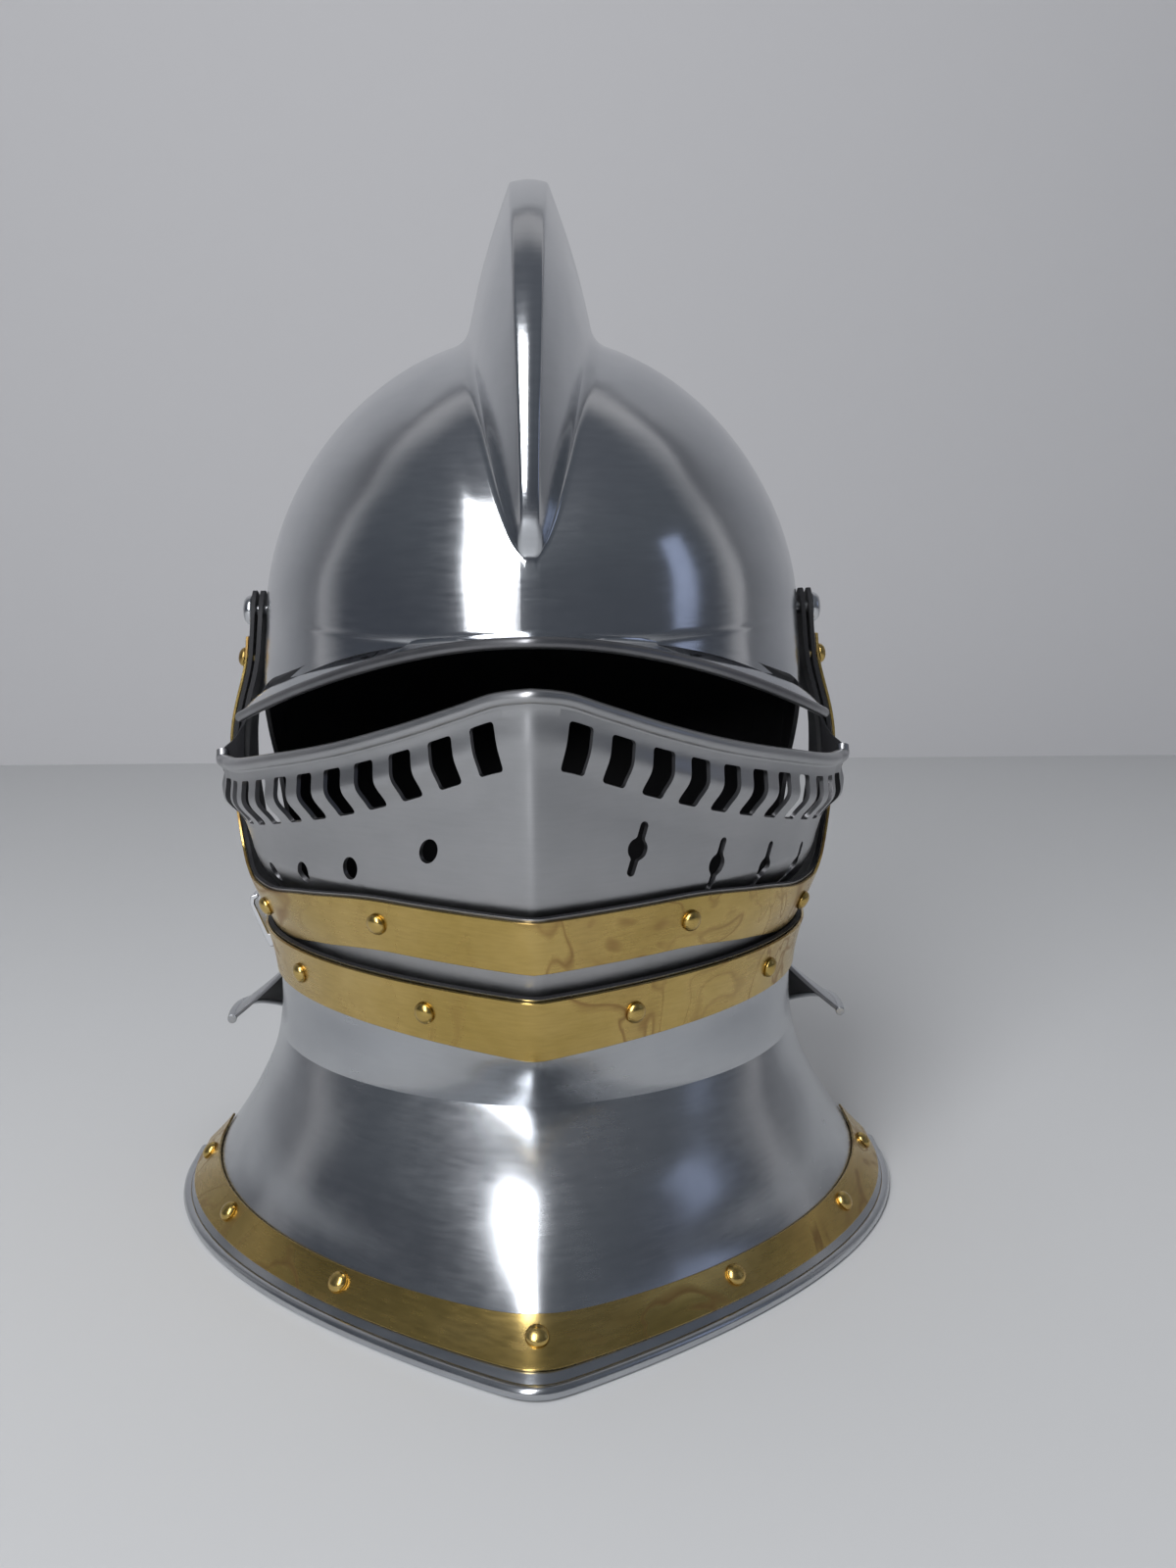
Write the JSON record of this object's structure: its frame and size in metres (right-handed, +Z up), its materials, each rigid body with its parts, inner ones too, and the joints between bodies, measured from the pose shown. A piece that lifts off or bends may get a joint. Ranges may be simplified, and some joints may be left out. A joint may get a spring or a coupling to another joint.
{
  "type": "burgonet",
  "caption": "Closed steel helmet with a tall comb, brow peak, slotted pivoting visor, brass-bordered lower plates, flared front collar and rear neck guard.",
  "frame": {"origin": "on the surface that the helmet stands on, below the middle of its bounding box", "axes": "+Z up; the face looks along -Y; +X is the wearer's left, and the plates mirror across X"},
  "size_m": [0.28, 0.3392, 0.3797],
  "materials": {
    "steel_plate": "polished steel sheet with fine hand-buffing marks",
    "brass_trim": "polished brass with tarnish stains",
    "brass_rivet": "domed polished brass",
    "steel_fitting": "bright polished steel"
  },
  "bodies": {
    "helmet": {"skull": "steel_plate", "neck_guard": "steel_plate", "neck_guard_rivet_1": "steel_fitting", "neck_guard_rivet_2": "steel_fitting", "neck_guard_rivet_3": "steel_fitting", "pivot_bolt_left": "steel_fitting", "pivot_bolt_right": "steel_fitting"},
    "bevor": {"middle_lame": "steel_plate", "front_collar": "steel_plate", "brass_band_upper": "brass_trim", "brass_band_middle": "brass_trim", "brass_band_hem": "brass_trim", "side_catch": "steel_fitting", "upper_rivet_1": "brass_rivet", "upper_rivet_2": "brass_rivet", "upper_rivet_3": "brass_rivet", "upper_rivet_4": "brass_rivet", "upper_rivet_5": "brass_rivet", "upper_rivet_6": "brass_rivet", "middle_rivet_1": "brass_rivet", "middle_rivet_2": "brass_rivet", "middle_rivet_3": "brass_rivet", "middle_rivet_4": "brass_rivet", "hem_rivet_1": "brass_rivet", "hem_rivet_2": "brass_rivet", "hem_rivet_3": "brass_rivet", "hem_rivet_4": "brass_rivet", "hem_rivet_5": "brass_rivet", "hem_rivet_6": "brass_rivet", "hem_rivet_7": "brass_rivet"},
    "visor": {"visor": "steel_plate"}
  },
  "joints": [
    {"name": "bevor_pivot", "type": "hinge", "parent": "helmet", "child": "bevor", "pos_m": [0, 0.01548, 0.224], "axis": [-1, 0, 0], "range_deg": [0, 36]},
    {"name": "visor_pivot", "type": "hinge", "parent": "bevor", "child": "visor", "pos_m": [0, 0.01548, 0.224], "axis": [-1, 0, 0], "range_deg": [0, 24]}
  ]
}
